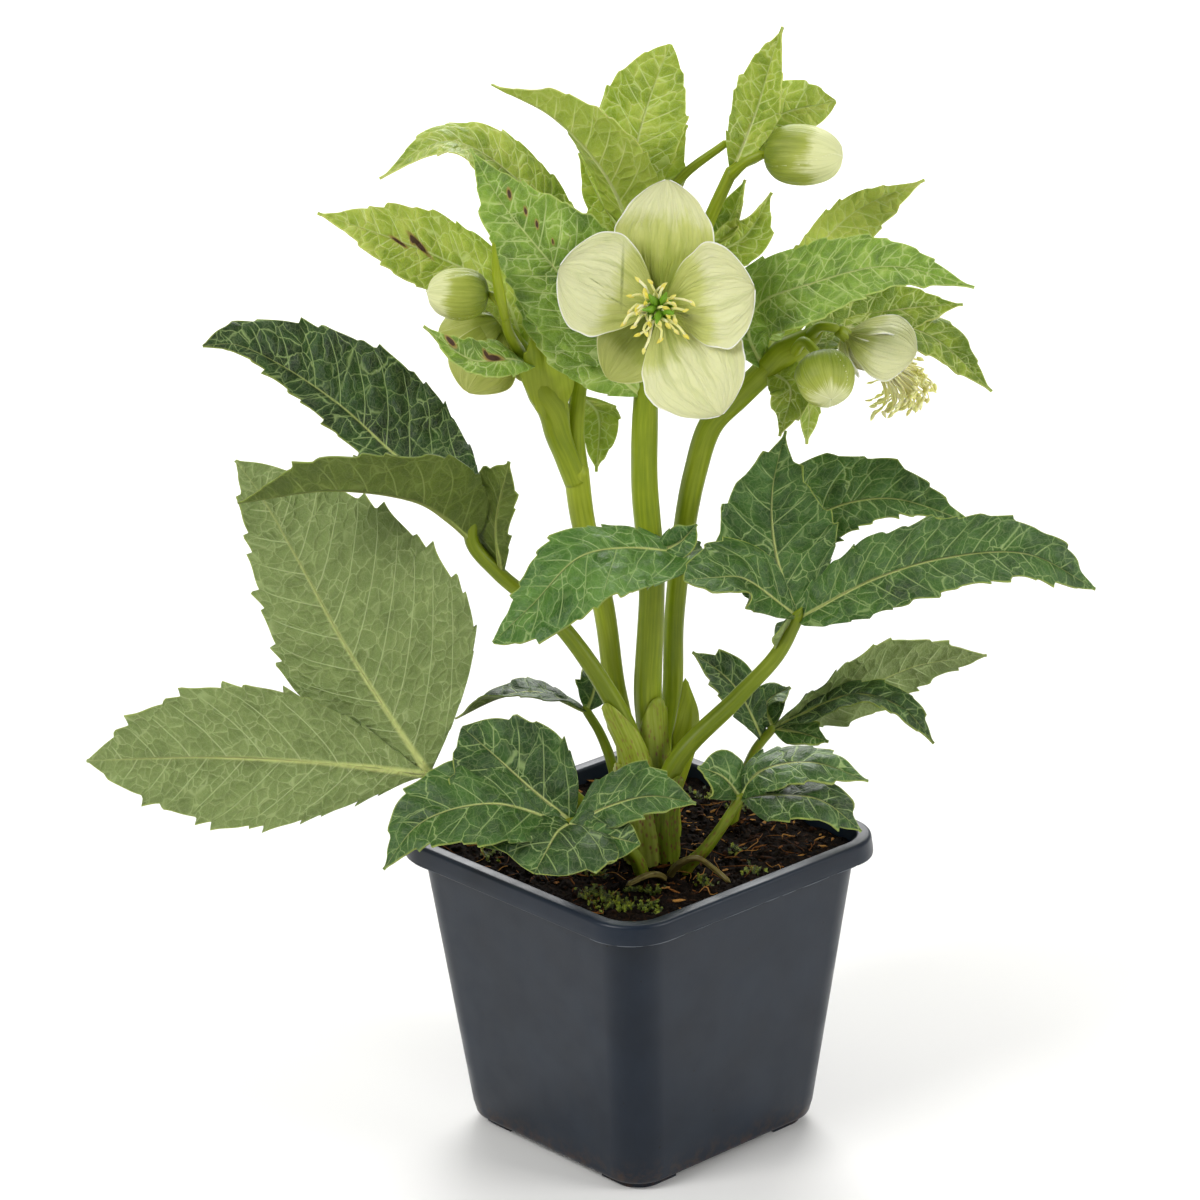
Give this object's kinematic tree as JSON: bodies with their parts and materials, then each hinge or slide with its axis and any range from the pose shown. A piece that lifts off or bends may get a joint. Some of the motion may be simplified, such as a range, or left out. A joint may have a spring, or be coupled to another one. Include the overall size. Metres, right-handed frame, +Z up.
{
  "type": "hellebore plant",
  "caption": "Flowering hellebore with net-veined toothed leaves, cream-green blooms and round buds, growing in a square slate plastic nursery pot of dark peat.",
  "frame": {"origin": "middle of the pad under the pot's floor, level with the feet that the pot stands on", "axes": "+Z up along the plant; the pot's straight sides lie along X and Y"},
  "size_m": [0.2394, 0.2847, 0.4073],
  "materials": {
    "plastic": "satin",
    "peat": "rough",
    "sheath": "satin",
    "stem": "satin",
    "leaf": "satin",
    "sepal": "matte",
    "bud": "matte",
    "stamen": "matte",
    "withered": "rough"
  },
  "bodies": {
    "root": {"pot": "plastic", "soil": "peat", "crown": "sheath", "old_stalks": "withered", "stem_centre": "stem", "stem_left": "stem", "stem_right": "stem", "leaf_left_upper": "leaf", "leaf_left_large": "leaf", "leaf_back_left": "leaf", "leaf_front_left": "leaf", "leaf_front_right": "leaf", "leaf_right": "leaf", "leaf_back_right": "leaf", "leaf_stem_low": "leaf", "bloom_main": "sepal", "bloom_main_heart": "stamen", "bloom_half_open": "sepal", "bloom_half_open_heart": "stamen", "bloom_nodding": "sepal", "bloom_nodding_heart": "stamen", "bud_left": "bud", "bud_top": "bud", "bud_right": "bud"}
  },
  "joints": []
}
